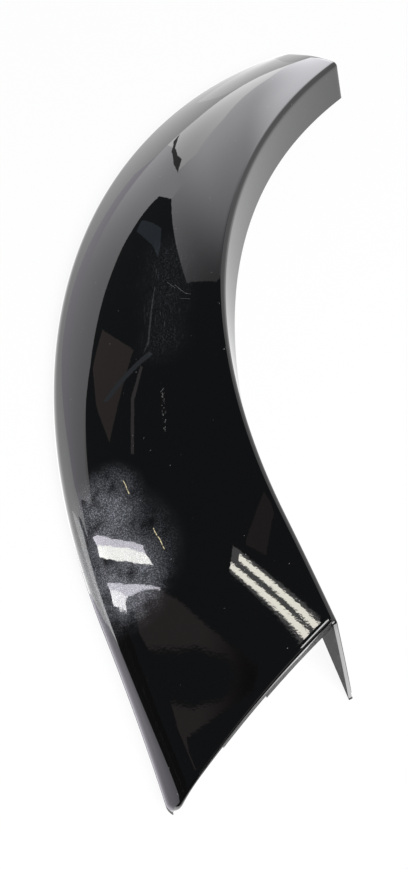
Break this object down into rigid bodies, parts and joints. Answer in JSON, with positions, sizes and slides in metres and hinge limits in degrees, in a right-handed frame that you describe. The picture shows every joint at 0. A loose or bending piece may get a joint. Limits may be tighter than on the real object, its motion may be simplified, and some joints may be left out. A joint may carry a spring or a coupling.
{
  "type": "wheel arch trim",
  "caption": "Curved gloss-black moulded trim that covers one side of a wheel opening, with a turned-in inner flange, a soft crease, a pressed outer lip and push-in clips on its back.",
  "frame": {"origin": "middle of the trim's box in plan, on the plane that the outer lip is pressed against", "axes": "+Z away from the vehicle's side, so the trim lies face up; +Y along the trim from its wide lower end to its narrow top end; +X towards the wheel's centre"},
  "size_m": [0.206, 0.5774, 0.0725],
  "materials": {
    "gloss_black": "polished black plastic with fine scratches and dust",
    "clip_nylon": "natural nylon, as moulded",
    "seal_foam": "soft closed-cell foam"
  },
  "bodies": {
    "root": {"trim_moulding": "gloss_black", "retainer_clips": "clip_nylon", "clip_seals": "seal_foam"}
  },
  "joints": []
}
